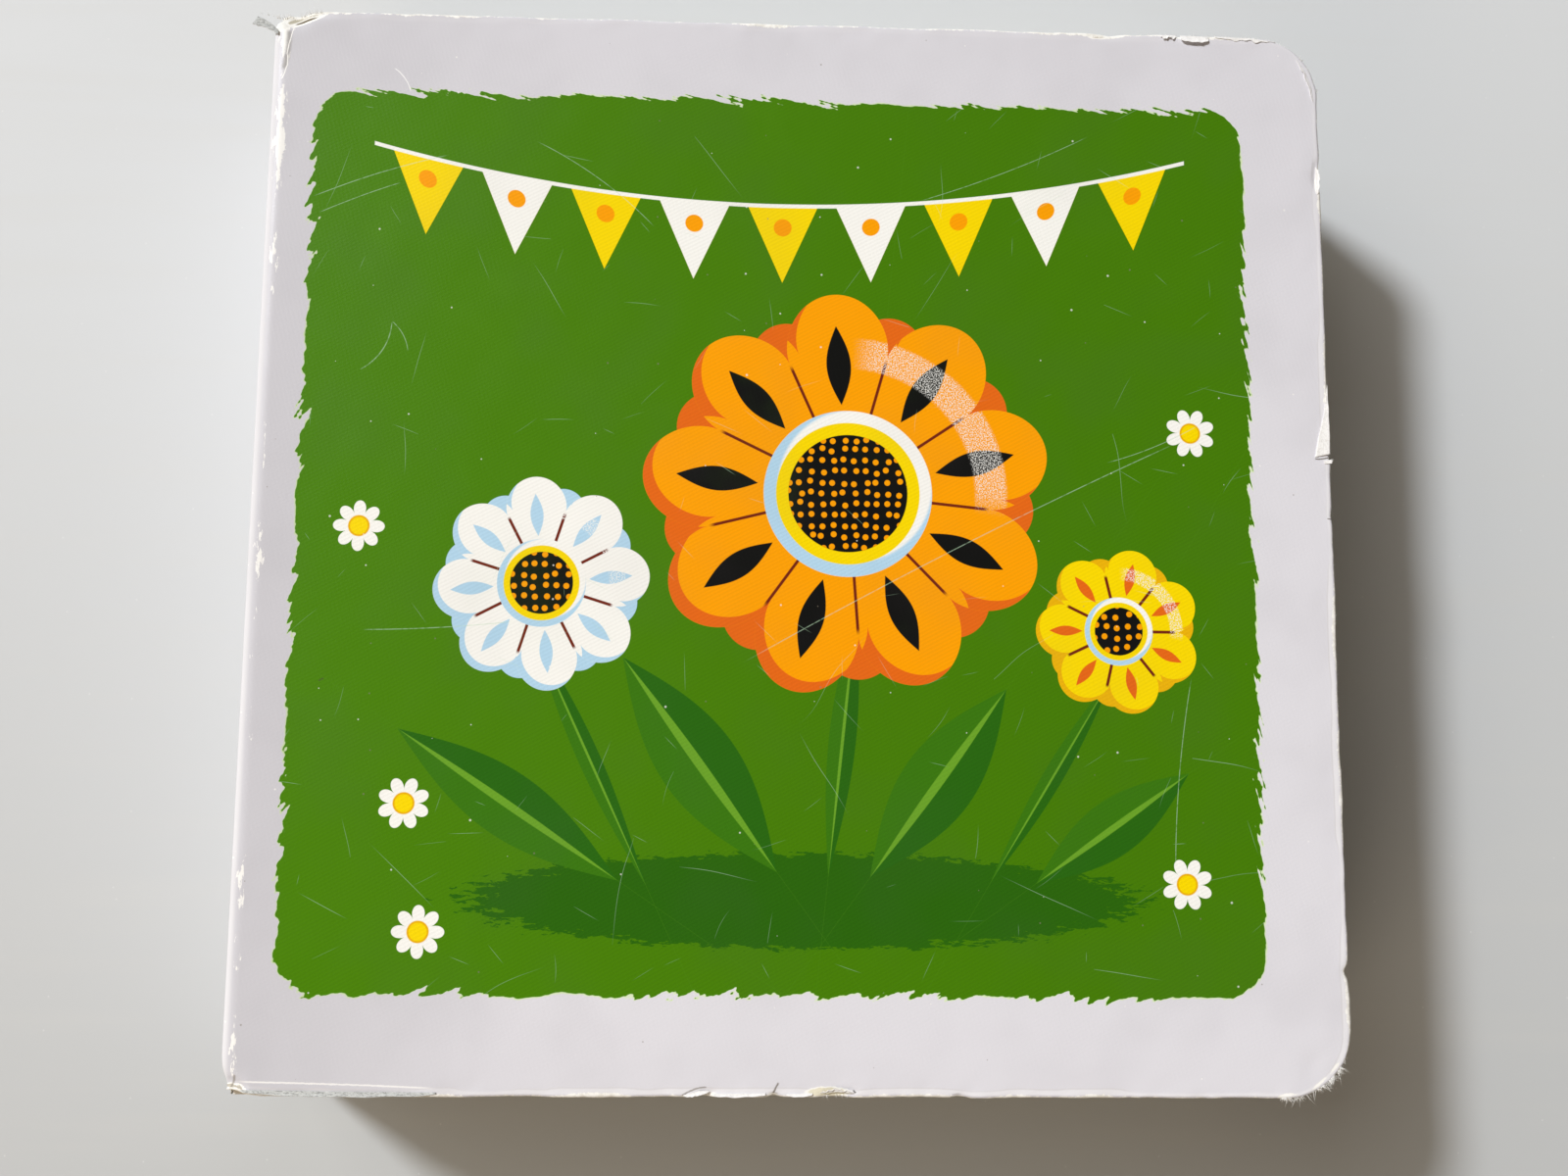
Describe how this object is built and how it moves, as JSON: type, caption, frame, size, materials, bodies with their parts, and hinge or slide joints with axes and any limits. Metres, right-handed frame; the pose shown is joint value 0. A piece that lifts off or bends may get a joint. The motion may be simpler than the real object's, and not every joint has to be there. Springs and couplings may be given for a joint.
{
  "type": "board book",
  "caption": "Thick square children's board book, lying closed. Its stiff leaves are glued in one block, and both covers open on folds beside the spine.",
  "frame": {"origin": "under the centre of the closed book, on the surface that its back cover lies on", "axes": "+X from the spine to the fore edge, +Y from the tail to the head, +Z from the back cover to the front cover"},
  "size_m": [0.16, 0.16, 0.0391],
  "materials": {
    "cover_board": "satin",
    "page_board": "matte"
  },
  "bodies": {
    "block": {"page_block": "page_board", "spine": "cover_board"},
    "front_cover": {"front_cover": "cover_board"},
    "back_cover": {"back_cover": "cover_board"}
  },
  "joints": [
    {"name": "front_cover_hinge", "type": "hinge", "parent": "block", "child": "front_cover", "pos_m": [-0.079, 0, 0.03809], "axis": [0, -1, 0], "range_deg": [0, 180]},
    {"name": "back_cover_hinge", "type": "hinge", "parent": "block", "child": "back_cover", "pos_m": [-0.079, 0, 0.001], "axis": [0, 1, 0], "range_deg": [0, 180]}
  ]
}
